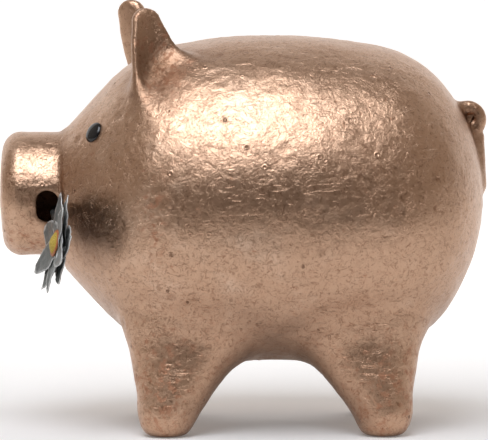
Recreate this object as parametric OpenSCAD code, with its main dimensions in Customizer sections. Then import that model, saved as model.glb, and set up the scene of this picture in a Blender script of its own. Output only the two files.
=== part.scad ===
// A papier-mache piggy bank: two pressed body shells, glued-on snout, ears, legs and tail,
// bead eyes, a rubber stopper in a collar under the belly, and a tin daisy held in the mouth.
// Millimetres. +X runs from snout to rump, +Z is up, and the origin is on the floor under the middle.

/* [Body] */
// Diameter of the belly at its widest ring
belly_d = 121.5; // [119:0.5:124]
// Height of the body's long axis above the floor
axis_z = 84; // [82:0.5:87]
// Distance of the widest ring behind the origin
belly_x = 10.5; // [7:0.5:14]
// Radius of the long curve along the back
back_r = 180; // [170:1:200]
// Distance of the rump's centre behind the origin
rump_x = 18.5; // [16:0.5:19.5]
// Radius of the round rump
rump_r = 70; // [68:0.5:70.5]
// Radius where the back turns into the rump
haunch_r = 39; // [30:1:42]
// Radius where the head turns into the back
brow_r = 50; // [42:1:54]
// Slope of the cheeks from the long axis
cheek_angle = 47.5; // [45:0.5:49]
// Thickness of the pressed paper
wall = 4; // [3:0.5:4.5]

/* [Snout] */
// Diameter of the snout
snout_d = 46; // [44:0.5:47]
// Distance of the snout's front ahead of the origin
snout_reach = 90; // [87:0.5:92]
// Distance of the flat end of the head ahead of the origin
head_reach = 66; // [65:0.5:67]
// Height of the snout's axis above the body's axis
snout_lift = 2; // [0:0.5:2]
// Radius of the snout's front edge
snout_edge_r = 6; // [3:0.5:6]
// Depth of the front disc, measured from the front
snout_disc_t = 7; // [6:0.5:8]
// Width of the hole in the side of the mouth
mouth_w = 8; // [5:0.5:8]
// Height of the hole in the side of the mouth
mouth_h = 12; // [9:0.5:13]
// Distance of the mouth hole behind the snout's front
mouth_back = 18.4; // [18:0.1:19.5]
// Drop of the mouth hole below the snout's axis
mouth_drop = 4; // [2:0.5:5]
// Diameter of each nostril
nostril_d = 5; // [3:0.5:6]
// Distance between the nostrils' middles
nostril_gap = 15; // [10:0.5:18]
// Depth of each nostril
nostril_depth = 3; // [1:0.5:4]

/* [Coin slot] */
// Length of the slot along the back
slot_l = 38; // [30:1:45]
// Width of the slot
slot_w = 5; // [4.5:0.1:6]

/* [Stopper] */
// Diameter of the collar's bore
collar_bore_d = 26; // [24:0.5:27]
// Height of the collar's seat above the lowest line of the belly
seat_lift = 4.5; // [3.5:0.25:5]
// Height of the collar's bore
collar_h = 8.5; // [7:0.5:10]
// Radial clearance of the plug in the bore
plug_clearance = 0.05; // [0.02:0.01:0.1]
// Width of the stopper's flange beyond the bore
flange_lip = 2; // [1.5:0.1:2.2]
// Thickness of the flange
flange_t = 2; // [1.5:0.1:2.2]

/* [Legs] */
// Distance of the front feet ahead of the origin
front_foot_x = 28.5; // [26:0.5:32]
// Distance of the rear feet behind the origin
rear_foot_x = 49.5; // [46:0.5:53]
// Distance of each foot from the middle plane
foot_y = 33; // [28:0.5:36]
// Radius of the round end of a leg
foot_r = 9.5; // [8:0.5:11]
// Height of the round end cut off for the flat sole
sole_cut = 0.7; // [0.5:0.1:2]
// Radius of the leg where it enters the body
thigh_r = 14; // [12:0.5:16]
// Half the length of the leg's root along the body
thigh_half_l = 8.5; // [7:0.5:12]
// Height of the leg's root above the floor
thigh_z = 37; // [34:0.5:42]
// Distance that a leg's root is nearer the belly's middle than its foot
thigh_lean = 8; // [7:0.5:13]
// Distance of each leg's root from the middle plane
thigh_y = 26; // [22:0.5:29]

/* [Ears] */
// Height of an ear above its root
ear_l = 40; // [34:0.5:44]
// Width of an ear at its widest
ear_w = 24; // [20:0.5:27]
// Radius of the ear's rounded tip
ear_tip_r = 6; // [4:0.5:8]
// Radius of the ear's cupping
ear_cup_r = 19; // [16:0.5:26]
// Thickness of an ear
ear_t = 4; // [3:0.5:5]
// Distance of the ear's root ahead of the origin
ear_x = 30; // [26:0.5:34]
// Distance of the ear's root from the middle plane
ear_y = 27; // [23:0.5:30]
// Height of the left and the right ear's root above the body's axis
ear_z = [30.3, 36.4]; // [28:0.1:38]
// Turn of the ear's open face away from square to the side
ear_turn = 30; // [15:1:45]
// Forward lean of the left and the right ear
ear_lean = [8, 20]; // [0:1:22]

/* [Tail] */
// Radius of the tail at its root
tail_root_r = 3.4; // [3:0.1:4]
// Radius of the tail at its tip
tail_tip_r = 1.9; // [1.5:0.1:2.4]
// Radius of the curl where it starts
curl_r = 5.2; // [4.8:0.1:6]
// Radius of the curl at the tip
curl_end_r = 3.4; // [3:0.1:4]
// Height of the curl's middle above the body's axis
curl_z = 29.5; // [28:0.5:31]

/* [Eyes] */
// Diameter of a bead eye
eye_d = 7.8; // [6:0.2:9]
// Height of the bead's dome
eye_dome = 1.6; // [1:0.1:2.2]
// Depth that the bead's edge is sunk in the head
eye_sunk = 0.9; // [0.6:0.1:1.2]
// Distance of the eyes ahead of the origin
eye_x = 54.5; // [52:0.5:57]
// Angle of the eyes above the level of the body's axis
eye_angle = 41; // [34:1:48]

/* [Flower] */
// Radius of the flower over its petals
flower_r = 19.5; // [17:0.5:20]
// Radius of the yellow centre
centre_r = 5; // [4:0.5:6]
// Thickness of the tin petals
petal_t = 0.8; // [0.6:0.1:1]
// Number of petals in each layer
petals = 6; // [5:1:7]
// Rise of the petals towards their tips
petal_rise = 8; // [4:1:12]
// Diameter of the wire stem
stem_d = 2; // [1.6:0.1:2.2]

/* [Hidden] */
LEFT = -1;
RIGHT = 1;
COPPER = [0.72, 0.48, 0.34];
BOARD = [0.55, 0.42, 0.3];
TIN = [0.55, 0.56, 0.54];
ARC_STEP = 5;
BIG = 400;
$fn = 72;

// Side profile of the body: five tangent curves between the flat end of the head and the rump.
belly_r = belly_d / 2;
back_centre = [belly_x, belly_r - back_r];
rump_centre = [rump_x, 0];
cheek = [cos(cheek_angle), sin(cheek_angle)];
cheek_in = [sin(cheek_angle), -cos(cheek_angle)];
head_end_r = 25.6;

function unit(v) = v / norm(v);
function angle_of(v) = atan2(v.y, v.x);
function on_circle(centre, r, a) = centre + r * [cos(a), sin(a)];
function arc(centre, r, a0, a1, n) = [for (i = [0:n]) on_circle(centre, r, a0 + (a1 - a0) * i / n)];
// Centre of a circle of radius r that touches two circles from inside, on their +X side.
function inner_touch(c1, r1, c2, r2, r) =
    let (gap = norm(c2 - c1), a = r1 - r, b = r2 - r, along = (a * a - b * b + gap * gap) / (2 * gap),
        across = sqrt(a * a - along * along), u = (c2 - c1) / gap)
    c1 + along * u + across * [u.y, -u.x];
// Centre of a circle of radius r that touches a line and a circle from inside.
function line_touch(p, dir, inward, c, rc, r) =
    let (w = p + r * inward - c, q = w * dir)
    p + r * inward + (sqrt(q * q - w * w + (rc - r) * (rc - r)) - q) * dir;

haunch_centre = inner_touch(back_centre, back_r, rump_centre, rump_r, haunch_r);
brow_centre = line_touch([-head_reach, head_end_r], cheek, cheek_in, back_centre, back_r, brow_r);
brow_angle = angle_of(brow_centre - back_centre);
haunch_angle = angle_of(haunch_centre - back_centre);
rump_angle = angle_of(haunch_centre - rump_centre);

// The profile as points [along, radius], moved inwards by inset.
function body_profile(inset) =
    let (touch = brow_centre - (brow_r - inset) * cheek_in, x0 = -head_reach + inset,
        r0 = touch.y + (x0 - touch.x) * tan(cheek_angle))
    concat([[x0, 0], [x0, r0]],
        arc(brow_centre, brow_r - inset, 90 + cheek_angle, brow_angle, ceil((90 + cheek_angle - brow_angle) / ARC_STEP)),
        arc(back_centre, back_r - inset, brow_angle, haunch_angle, 6),
        arc(haunch_centre, haunch_r - inset, haunch_angle, rump_angle, ceil((haunch_angle - rump_angle) / ARC_STEP)),
        arc(rump_centre, rump_r - inset, rump_angle, 0, ceil(rump_angle / ARC_STEP)));

module body_solid(inset = 0) {
    translate([0, 0, axis_z]) rotate([40, 0, 0]) rotate([0, 90, 0])
        rotate_extrude() polygon([for (p = body_profile(inset)) [p.y, p.x]]);
}

// Coin slot, with round ends, cut down through the back.
module slot_cut() {
    top = axis_z + belly_r;
    half = (slot_l - slot_w) / 2;
    translate([belly_x, 0, top - 3 * wall]) {
        for (s = [-1, 1]) translate([s * half, 0, 0]) cylinder(h = 6 * wall, d = slot_w);
        translate([-half, -slot_w / 2, 0]) cube([2 * half, slot_w, 6 * wall]);
    }
}

seat_z = axis_z - belly_r + seat_lift;
bore_r = collar_bore_d / 2;
flange_r = bore_r + flange_lip;
hatch_r = flange_r + 0.5;

module hatch_cut() {
    translate([belly_x, 0, 0]) cylinder(h = axis_z, r = hatch_r);
}

module left_body_shell() {
    color(COPPER) difference() {
        body_solid();
        body_solid(wall);
        translate([-BIG / 2, 0, -BIG / 2]) cube(BIG);
        slot_cut();
        hatch_cut();
        eye_pocket(LEFT);
    }
}

module right_body_shell() {
    mirror([0, 1, 0]) left_body_shell();
}

// Snout: a board tube closed by a disc with a rounded edge.
snout_r = snout_d / 2;
snout_z = axis_z + snout_lift;
snout_inner_r = snout_r - wall;
mouth_x = -snout_reach + mouth_back;
mouth_z = snout_z - mouth_drop;

module along_x(x, z) {
    translate([x, 0, z]) rotate([0, 90, 0]) children();
}

module snout_profile() {
    edge = arc([snout_edge_r, snout_r - snout_edge_r], snout_edge_r, 180, 90, 12);
    rotate_extrude() polygon(concat([[0, 0]], [for (p = edge) [p.y, p.x]],
        [[snout_r, snout_reach - head_reach], [0, snout_reach - head_reach]]));
}

// The hole runs in from the left side only, and is taller than it is wide.
module mouth_cut() {
    half = (mouth_h - mouth_w) / 2;
    translate([mouth_x, 0, mouth_z]) rotate([90, 0, 0]) {
        for (s = [-1, 1]) translate([0, s * half, 0]) cylinder(h = BIG, d = mouth_w);
        translate([-mouth_w / 2, -half, 0]) cube([mouth_w, 2 * half, BIG]);
    }
}

module snout_tube() {
    color(COPPER) difference() {
        along_x(-snout_reach, snout_z) snout_profile();
        along_x(-snout_reach - 1, snout_z) cylinder(h = snout_disc_t + 1, r = snout_r + 1);
        along_x(-snout_reach, snout_z) cylinder(h = BIG, r = snout_inner_r);
        mouth_cut();
        stem_line(stem_d / 2 + 0.05);
    }
}

module snout_disc() {
    color(COPPER) difference() {
        intersection() {
            along_x(-snout_reach, snout_z) snout_profile();
            along_x(-snout_reach, snout_z) cylinder(h = snout_disc_t, r = snout_r + 1);
        }
        for (s = [-1, 1]) translate([-snout_reach - 1, s * nostril_gap / 2, snout_z])
            rotate([0, 90, 0]) cylinder(h = nostril_depth + 1, d = nostril_d);
    }
}

// One leg: a round foot swelling into a root that is longer along the body than across it.
module leg(side, end) {
    foot = [end * (end < 0 ? front_foot_x : rear_foot_x), side * foot_y, foot_r - sole_cut];
    root = [foot.x - end * thigh_lean, side * thigh_y, thigh_z];
    color(COPPER) difference() {
        hull() {
            translate(foot) sphere(r = foot_r, $fn = 32);
            for (s = [-1, 1]) translate(root + [s * thigh_half_l, 0, 0]) sphere(r = thigh_r, $fn = 32);
        }
        translate([-BIG / 2, -BIG / 2, -BIG]) cube(BIG);
        body_solid();
    }
}

// Outline of an ear: a leaf with a round tip whose lower part runs on into the head.
function ear_outline() =
    let (tip_y = ear_l - ear_tip_r, side_r = (ear_l * ear_l + ear_w * ear_w / 4) / ear_w)
    concat([[-ear_w * 0.42, -26], [ear_w * 0.42, -26]],
        [for (i = [0:8]) let (t = i / 8) [ear_half_w(t), t * tip_y]],
        arc([0, tip_y], ear_tip_r, 28, 152, 10),
        [for (i = [8:-1:0]) let (t = i / 8) [-ear_half_w(t), t * tip_y]]);
function ear_half_w(t) = ear_w / 2 * (1 - 0.16 * (1 - t) * (1 - t)) - (ear_w / 2 - ear_tip_r) * pow(t, 2.2);

// The ear is the leaf cut out of a curved sheet that is hollow on its outer side.
module ear(side) {
    which = side == LEFT ? 0 : 1;
    color(COPPER) difference() {
        translate([-ear_x, side * ear_y, axis_z + ear_z[which]]) rotate([0, 0, -side * ear_turn])
            rotate([side * 6, -ear_lean[which], 0]) intersection() {
                rotate([90, 0, 0]) linear_extrude(height = 60, center = true) polygon(ear_outline());
                translate([0, side * ear_cup_r, -30]) difference() {
                    cylinder(h = 90, r = ear_cup_r + ear_t / 2);
                    translate([0, 0, -1]) cylinder(h = 92, r = ear_cup_r - ear_t / 2);
                    translate([0, side * BIG / 2, 0]) cube(BIG, center = true);
                }
            }
        body_solid();
    }
}

// Tail: rises from the rump and curls forward into a hook.
TAIL_SIDES = 10;
TAIL_START = -62;
TAIL_END = 262;
curl_centre = [snout_reach - curl_r - 0.8 * tail_root_r, 0, axis_z + curl_z];
tail_path = concat(
    [for (t = [0:0.2:0.8]) [snout_reach - 3.4 - 0.6 * t, 0.4, axis_z + 5 + 22 * t]],
    [for (a = [TAIL_START:12:TAIL_END]) let (t = (a - TAIL_START) / (TAIL_END - TAIL_START),
        r = curl_r + (curl_end_r - curl_r) * t)
        curl_centre + [r * cos(a), -3.4 * t, r * sin(a)]]);

function tangent(path, i) = unit(path[min(i + 1, len(path) - 1)] - path[max(i - 1, 0)]);
function ring(path, i, r) = let (t = tangent(path, i), n = unit(cross(t, [0, 1, 0])), b = cross(n, t))
    [for (k = [0:TAIL_SIDES - 1]) path[i] + r * (cos(360 * k / TAIL_SIDES) * n + sin(360 * k / TAIL_SIDES) * b)];

module tail() {
    last = len(tail_path) - 1;
    rings = [for (i = [0:last]) ring(tail_path, i,
        (tail_root_r + (tail_tip_r - tail_root_r) * i / last) * (i == last ? 0.6 : 1))];
    walls = [for (i = [0:last - 1], k = [0:TAIL_SIDES - 1]) let (a = i * TAIL_SIDES + k,
        b = i * TAIL_SIDES + (k + 1) % TAIL_SIDES) [a, b, b + TAIL_SIDES, a + TAIL_SIDES]];
    root_face = [for (k = [TAIL_SIDES - 1:-1:0]) k];
    tip_face = [for (k = [0:TAIL_SIDES - 1]) last * TAIL_SIDES + k];
    color(COPPER) difference() {
        polyhedron([for (r = rings) each r], concat(walls, [root_face, tip_face]));
        body_solid();
    }
}

// Eye: a domed bead on a pin, sunk a little in the cheek and square to it.
eye_seat_r = head_end_r + (head_reach - eye_x) * tan(cheek_angle);

module eye_frame(side) {
    translate([-eye_x, 0, axis_z]) rotate([-side * (90 - eye_angle), 0, 0]) translate([0, 0, eye_seat_r])
        rotate([0, -cheek_angle, 0]) children();
}

module eye_shape(side) {
    dome_r = (pow(eye_d / 2, 2) + eye_dome * eye_dome) / (2 * eye_dome);
    eye_frame(side) {
        translate([0, 0, -eye_sunk]) cylinder(h = eye_sunk, d = eye_d);
        intersection() {
            translate([0, 0, eye_dome - dome_r]) sphere(r = dome_r);
            cylinder(h = eye_dome + 1, d = eye_d + 1);
        }
        translate([0, 0, -wall - 1]) cylinder(h = wall + 1, d = 1.4);
    }
}

module eye_pocket(side) {
    eye_frame(side) {
        translate([0, 0, -eye_sunk]) cylinder(h = 5, d = eye_d);
        translate([0, 0, -wall - 3]) cylinder(h = wall + 3, d = 1.4);
    }
}

module eye(side) {
    color([0.03, 0.03, 0.03]) eye_shape(side);
}

// Collar: a board ring glued inside the belly round the hatch. Its underside is the stopper's seat.
module stopper_collar() {
    color(BOARD) difference() {
        union() {
            translate([belly_x, 0, seat_z]) cylinder(h = collar_h, r = hatch_r);
            intersection() {
                translate([belly_x, 0, seat_z]) cylinder(h = collar_h, r = hatch_r + 5);
                body_solid(wall);
            }
        }
        translate([belly_x, 0, 0]) cylinder(h = axis_z, r = bore_r);
    }
}

// Stopper: a hollow rubber plug with a flange and a finger bar in a shallow dish.
module stopper() {
    plug_r = bore_r - plug_clearance;
    plug_h = collar_h + 4;
    skin = 3;
    color([0.12, 0.12, 0.12]) translate([belly_x, 0, seat_z]) {
        difference() {
            union() {
                translate([0, 0, -flange_t]) cylinder(h = flange_t, r = flange_r);
                cylinder(h = collar_h, r = plug_r);
                translate([0, 0, collar_h]) cylinder(h = plug_h - collar_h, r1 = plug_r, r2 = plug_r - 1.5);
            }
            translate([0, 0, skin]) cylinder(h = plug_h, r = plug_r - skin - 1);
            translate([0, 0, -flange_t - 1]) cylinder(h = flange_t + 1, r = bore_r - 5);
        }
        translate([-bore_r + 4.8, -1.5, -flange_t]) cube([2 * bore_r - 9.6, 3, flange_t + 0.5]);
    }
}

// Daisy: tin petals round a yellow centre, on a wire that crosses the mouth into the far wall.
flower_centre = [-66.8, -40, 69.7];
flower_tilt = 78;
flower_turn = 194;
flower_normal = [sin(flower_tilt) * cos(flower_turn), sin(flower_tilt) * sin(flower_turn), cos(flower_tilt)];
stem_x = -69.5;
stem_z = mouth_z - 2;
stem_bend = [stem_x, -snout_r, stem_z];
stem_end_y = sqrt(snout_r * snout_r - pow(stem_z - snout_z, 2)) - 1.3;

module rod(a, b, r) {
    v = b - a;
    translate(a) rotate([0, acos(v.z / norm(v)), atan2(v.y, v.x)]) cylinder(h = norm(v), r = r, $fn = 24);
}

module stem_line(r) {
    rod([stem_x, 0, stem_z], [stem_x, stem_end_y, stem_z], r);
}

module flower_stem() {
    color([0.4, 0.4, 0.38]) {
        rod([stem_x, stem_end_y - 0.1, stem_z], stem_bend, stem_d / 2);
        translate(stem_bend) sphere(d = stem_d, $fn = 24);
        rod(stem_bend, flower_centre - 2 * petal_t * flower_normal, stem_d / 2);
    }
}

module flower_frame() {
    translate(flower_centre) rotate([0, 0, flower_turn]) rotate([0, flower_tilt, 0]) children();
}

// One petal along +X from the middle: narrow at its root, widest past half way, with a blunt point.
PETAL_STEPS = 12;
function petal_half_w(t) = flower_r * 0.27 * pow(sin(180 * pow(t, 0.8)), 0.7) + (1 - t) * 1.2;

module petal_layer(reach, turn) {
    side = [for (i = [0:PETAL_STEPS]) let (t = i / PETAL_STEPS) [t * reach, petal_half_w(t)]];
    mirrored = [for (i = [PETAL_STEPS - 1:-1:0]) [side[i].x, -side[i].y]];
    for (i = [0:petals - 1]) rotate([0, 0, turn + i * 360 / petals]) rotate([0, -petal_rise, 0])
        linear_extrude(height = petal_t) polygon(concat(side, mirrored));
    cylinder(h = petal_t, r = centre_r, $fn = 48);
}

module front_petals() {
    color(TIN) difference() {
        flower_frame() petal_layer(flower_r, 12);
        flower_centre_shape(0);
    }
}

module back_petals() {
    color(TIN) difference() {
        flower_frame() translate([0, 0, -2.2 * petal_t]) petal_layer(flower_r - 0.5, 12 + 180 / petals);
        flower_frame() petal_layer(flower_r, 12);
    }
}

module flower_centre_shape(grow) {
    dome_r = (centre_r * centre_r + 4) / 4;
    flower_frame() translate([0, 0, petal_t]) intersection() {
        translate([0, 0, 2 - dome_r]) sphere(r = dome_r + grow);
        cylinder(h = 4, r = centre_r - 1 + grow, $fn = 48);
    }
}

module flower_centre() {
    color([0.62, 0.58, 0.2]) flower_centre_shape(0);
}

module centre_rim() {
    color([0.62, 0.36, 0.22]) difference() {
        flower_frame() translate([0, 0, petal_t]) cylinder(h = 1.2, r = centre_r, $fn = 48);
        flower_centre_shape(0);
        flower_frame() petal_layer(flower_r, 12);
    }
}

left_body_shell();
right_body_shell();
snout_tube();
snout_disc();
ear(LEFT);  // left_ear
ear(RIGHT);  // right_ear
leg(LEFT, -1);  // front_left_leg
leg(RIGHT, -1);  // front_right_leg
leg(LEFT, 1);  // rear_left_leg
leg(RIGHT, 1);  // rear_right_leg
tail();
eye(LEFT);  // left_eye
eye(RIGHT);  // right_eye
stopper_collar();
stopper();
flower_stem();
front_petals();
back_petals();
flower_centre();
centre_rim();
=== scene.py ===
import bpy
import bmesh
import math
import numpy as np
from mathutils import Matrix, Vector, noise


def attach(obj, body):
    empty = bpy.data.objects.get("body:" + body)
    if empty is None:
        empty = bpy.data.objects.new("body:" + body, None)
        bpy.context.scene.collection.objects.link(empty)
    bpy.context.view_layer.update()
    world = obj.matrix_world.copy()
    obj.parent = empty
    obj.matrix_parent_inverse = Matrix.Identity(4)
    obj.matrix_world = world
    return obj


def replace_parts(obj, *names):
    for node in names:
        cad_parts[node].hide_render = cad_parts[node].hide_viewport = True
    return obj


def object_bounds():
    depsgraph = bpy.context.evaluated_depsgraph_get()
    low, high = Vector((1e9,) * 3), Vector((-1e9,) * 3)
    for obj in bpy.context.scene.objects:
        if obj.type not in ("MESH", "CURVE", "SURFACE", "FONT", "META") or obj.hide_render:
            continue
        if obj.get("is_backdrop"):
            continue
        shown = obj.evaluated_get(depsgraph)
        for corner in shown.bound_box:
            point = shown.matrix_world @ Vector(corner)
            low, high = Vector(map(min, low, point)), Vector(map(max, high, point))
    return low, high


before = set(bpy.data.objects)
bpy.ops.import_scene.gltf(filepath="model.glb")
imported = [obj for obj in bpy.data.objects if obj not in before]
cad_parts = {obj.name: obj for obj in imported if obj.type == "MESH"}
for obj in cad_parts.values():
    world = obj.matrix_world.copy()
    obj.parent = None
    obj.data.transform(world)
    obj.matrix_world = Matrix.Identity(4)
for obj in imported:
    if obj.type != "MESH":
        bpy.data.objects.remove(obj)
cad_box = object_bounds()

# ---------------------------------------------------------------------------------------------
# Copper leaf: thin metal leaf over red-brown bole on pressed paper pulp. It is satin, wrinkled,
# pitted and scratched, rubbed through to the bole in places, with dirt in its pits; shade is
# painted darker into its hollows, creases, undersides and between the legs.
def put(tree, kind, ins=None, **props):
    """Adds a node, sets its properties, and links or sets the inputs named in ins."""
    made = tree.nodes.new(kind)
    for key, value in props.items():
        setattr(made, key, value)
    for key, value in (ins or {}).items():
        if isinstance(value, bpy.types.NodeSocket):
            tree.links.new(value, made.inputs[key])
        else:
            made.inputs[key].default_value = value
    return made


def group_tree(name, kind, inputs, outputs):
    """A node group with its inputs (name, type, value) and outputs (name, type)."""
    tree = bpy.data.node_groups.new(name, kind)
    for label, socket, value in inputs:
        made = tree.interface.new_socket(label, in_out="INPUT", socket_type=socket)
        if value is not None:
            made.default_value = value
    for label, socket in outputs:
        tree.interface.new_socket(label, in_out="OUTPUT", socket_type=socket)
    return tree, tree.nodes.new("NodeGroupInput"), tree.nodes.new("NodeGroupOutput")


def use_group(tree, group, ins):
    return put(tree, "ShaderNodeGroup", ins, node_tree=group)


def mixed(tree, factor, a, b):
    return put(tree, "ShaderNodeMix", {0: factor, 6: a, 7: b}, data_type="RGBA").outputs[2]


def math_of(tree, operation, a, b=0.0, clamp=False):
    return put(tree, "ShaderNodeMath", {0: a, 1: b}, operation=operation,
        use_clamp=clamp).outputs[0]


def material(name):
    """A new material, its tree, its Principled BSDF and its object-space position."""
    mat = bpy.data.materials.new(name)
    mat.use_nodes = True
    tree = mat.node_tree
    place = tree.nodes.new("ShaderNodeTexCoord").outputs["Object"]
    return mat, tree, tree.nodes["Principled BSDF"], place


# Shared surface effect: a soft-edged mask of blotches, for wear, patina and dull spots.
# Size is the blotch size in metres, Cover how much of the surface it takes.
blotches, given, out = group_tree("blotches", "ShaderNodeTree",
    [("Vector", "NodeSocketVector", None), ("Size", "NodeSocketFloat", 0.01),
     ("Cover", "NodeSocketFloat", 0.5), ("Softness", "NodeSocketFloat", 0.1),
     ("Seed", "NodeSocketFloat", 0.0)],
    [("Mask", "NodeSocketFloat")])
scale = math_of(blotches, "DIVIDE", 1.0, given.outputs["Size"])
cloud = put(blotches, "ShaderNodeTexNoise",
    {"Vector": given.outputs["Vector"], "W": given.outputs["Seed"],
    "Scale": scale, "Detail": 5.0, "Roughness": 0.62}, noise_dimensions="4D")
low = math_of(blotches, "SUBTRACT", 0.72,
    math_of(blotches, "MULTIPLY", given.outputs["Cover"], 0.45))
edge = put(blotches, "ShaderNodeMapRange", {0: cloud.outputs[0], 1: low,
    2: math_of(blotches, "ADD", low, given.outputs["Softness"])}, interpolation_type="SMOOTHSTEP")
blotches.links.new(edge.outputs[0], out.inputs["Mask"])

# Shared surface effect: fine grain that roughens a normal. Size and Depth are in metres.
grain, given, out = group_tree("grain", "ShaderNodeTree",
    [("Vector", "NodeSocketVector", None), ("Size", "NodeSocketFloat", 0.001),
    ("Depth", "NodeSocketFloat", 0.0001),
     ("Normal", "NodeSocketVector", None)],
    [("Normal", "NodeSocketVector")])
scale = math_of(grain, "DIVIDE", 1.0, given.outputs["Size"])
cloud = put(grain, "ShaderNodeTexNoise", {"Vector": given.outputs["Vector"], "Scale": scale,
    "Detail": 4.0, "Roughness": 0.6, "Distortion": 0.6})
bump = put(grain, "ShaderNodeBump", {"Strength": 1.0, "Distance": given.outputs["Depth"],
    "Height": cloud.outputs[0], "Normal": given.outputs["Normal"]})
grain.links.new(bump.outputs[0], out.inputs["Normal"])

LEAF_LIGHT = (0.74, 0.525, 0.385, 1)
LEAF_WARM = (0.60, 0.385, 0.26, 1)
BOLE_RED = (0.40, 0.14, 0.06, 1)
SEAM_AND_SHADE_BROWN = (0.20, 0.085, 0.04, 1)
DIRT_AND_SHADE_DARK = (0.085, 0.035, 0.014, 1)
PIT_SHARE, PIT_IN, PIT_OUT, PIT_RIM = 0.76, 0.05, 0.13, 0.20
LEAF_ROUGH, RELIEF_DEPTH = 0.28, 0.00052

copper_leaf, tree, shader, place = material("copper_leaf")


def own(label):
    """One of the skin's own attributes."""
    return put(tree, "ShaderNodeAttribute", attribute_name=label).outputs["Fac"]


def patches(size, cover, softness, seed):
    return use_group(tree, blotches, {"Vector": place, "Size": size, "Cover": cover,
        "Softness": softness, "Seed": seed}).outputs[0]


def ripples(scale, detail, roughness, distortion):
    return put(tree, "ShaderNodeTexNoise", {"Vector": place, "Scale": scale, "Detail": detail,
        "Roughness": roughness, "Distortion": distortion}).outputs[0]


def ramp(value, low, high, at_low=0.0, at_high=1.0, smooth="LINEAR"):
    return put(tree, "ShaderNodeMapRange", {0: value, 1: low, 2: high, 3: at_low, 4: at_high},
        interpolation_type=smooth).outputs[0]


def times(a, b, clamp=False):
    return math_of(tree, "MULTIPLY", a, b, clamp)


# Colour: cloudy leaf, then the bole, then dark pits with painted shade in the hollows, and brown
# seams with painted shade in the crease troughs over it.
cloudy = patches(0.022, 0.5, 0.3, 1.0)
tone = mixed(tree, cloudy, LEAF_WARM, LEAF_LIGHT)
worn = times(own("wear"), patches(0.0024, 0.55, 0.22, 4.0), True)
specks = patches(0.0028, 0.16, 0.05, 9.0)
rubbed = math_of(tree, "MAXIMUM", times(worn, 0.52), times(specks, 0.45))
tone = mixed(tree, rubbed, tone, BOLE_RED)
cells = put(tree, "ShaderNodeTexVoronoi", {"Vector": place, "Scale": 150.0, "Randomness": 1.0})
drawn = put(tree, "ShaderNodeSeparateColor", {0: cells.outputs["Color"]}).outputs[0]
chosen = math_of(tree, "GREATER_THAN", drawn, PIT_SHARE)
pit = times(ramp(cells.outputs["Distance"], PIT_IN, PIT_OUT, 1.0, 0.0, "SMOOTHSTEP"), chosen)
rim = times(ramp(cells.outputs["Distance"], PIT_OUT, PIT_RIM, 1.0, 0.0, "SMOOTHSTEP"), chosen)
# Dark pits, and painted shade in the hollows, undersides and between the legs.
pit_dirt_and_shade = math_of(tree, "MAXIMUM", times(pit, 0.6), times(own("hollow"), 0.75))
tone = mixed(tree, pit_dirt_and_shade, tone, DIRT_AND_SHADE_DARK)
folds = ripples(260.0, 7.0, 0.66, 0.7)
pucker = ripples(520.0, 5.0, 0.6, 0.9)
seam = put(tree, "ShaderNodeMath", {0: folds, 1: 0.5, 2: 0.022}, operation="COMPARE").outputs[0]
seam = times(seam, ramp(pucker, 0.46, 0.58))
# Brown seams in the leaf, and painted shade in the trough of each pucker.
seam_and_trough_shade = math_of(tree, "MAXIMUM", times(seam, 0.45),
    times(ramp(pucker, 0.30, 0.44, 1.0, 0.0), 0.62))
tone = mixed(tree, seam_and_trough_shade, tone, SEAM_AND_SHADE_BROWN)

# Relief: folds and puckers, with seams, pits and scores cut in and a lip round each pit.
along = put(tree, "ShaderNodeMapping", {"Vector": place, "Rotation": (0.0, 0.6, 0.0),
    "Scale": (110.0, 420.0, 900.0)})
lines = put(tree, "ShaderNodeTexNoise", {"Vector": along.outputs[0], "Scale": 1.0, "Detail": 3.0,
    "Roughness": 0.7}).outputs[0]
scratch = times(ramp(lines, 0.62, 0.72), own("scored"))
height = math_of(tree, "ADD", times(folds, 0.85), times(pucker, 0.55))
height = math_of(tree, "SUBTRACT", height, times(seam, 0.12))
height = math_of(tree, "ADD", height, times(rim, 0.25))
height = math_of(tree, "SUBTRACT", height, times(pit, 0.9))
height = math_of(tree, "SUBTRACT", height, times(scratch, 0.6))
relief = put(tree, "ShaderNodeBump", {"Strength": 0.75, "Distance": RELIEF_DEPTH, "Height": height})
fine = use_group(tree, grain, {"Vector": place, "Size": 0.0009, "Depth": 0.00006,
    "Normal": relief.outputs[0]})
rough = math_of(tree, "ADD", LEAF_ROUGH, times(cloudy, 0.06))
rough = math_of(tree, "ADD", rough, times(rubbed, 0.28))
rough = math_of(tree, "ADD", rough, times(pit_dirt_and_shade, 0.15), True)
metal = math_of(tree, "SUBTRACT", 1.0, times(rubbed, 0.35), True)
for key, socket in (("Base Color", tone), ("Roughness", rough), ("Metallic", metal),
        ("Normal", fine.outputs["Normal"])):
    tree.links.new(socket, shader.inputs[key])

# ---------------------------------------------------------------------------------------------
# The pressed-paper skin: body halves, snout, ears, legs and tail are glued together and then
# leafed over as one skin, so that every joint is a soft fillet. The skin is modelled as one
# surface and parted where the pieces meet. Lengths here are in millimetres.
MM = 0.001
AXIS_Z, BELLY_X, BELLY_R, BACK_R = 84.0, 10.5, 60.75, 180.0
RUMP_X, RUMP_R, HAUNCH_R, BROW_R = 18.5, 70.0, 39.0, 50.0
HEAD_X, HEAD_END_R, CHEEK = -66.0, 25.6, math.radians(47.5)


def unit(v):
    return v / np.linalg.norm(v)


def arc(centre, r, a0, a1, n):
    a = np.linspace(a0, a1, n)
    return np.stack([centre[0] + r * np.cos(a), centre[1] + r * np.sin(a)], 1)


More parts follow.
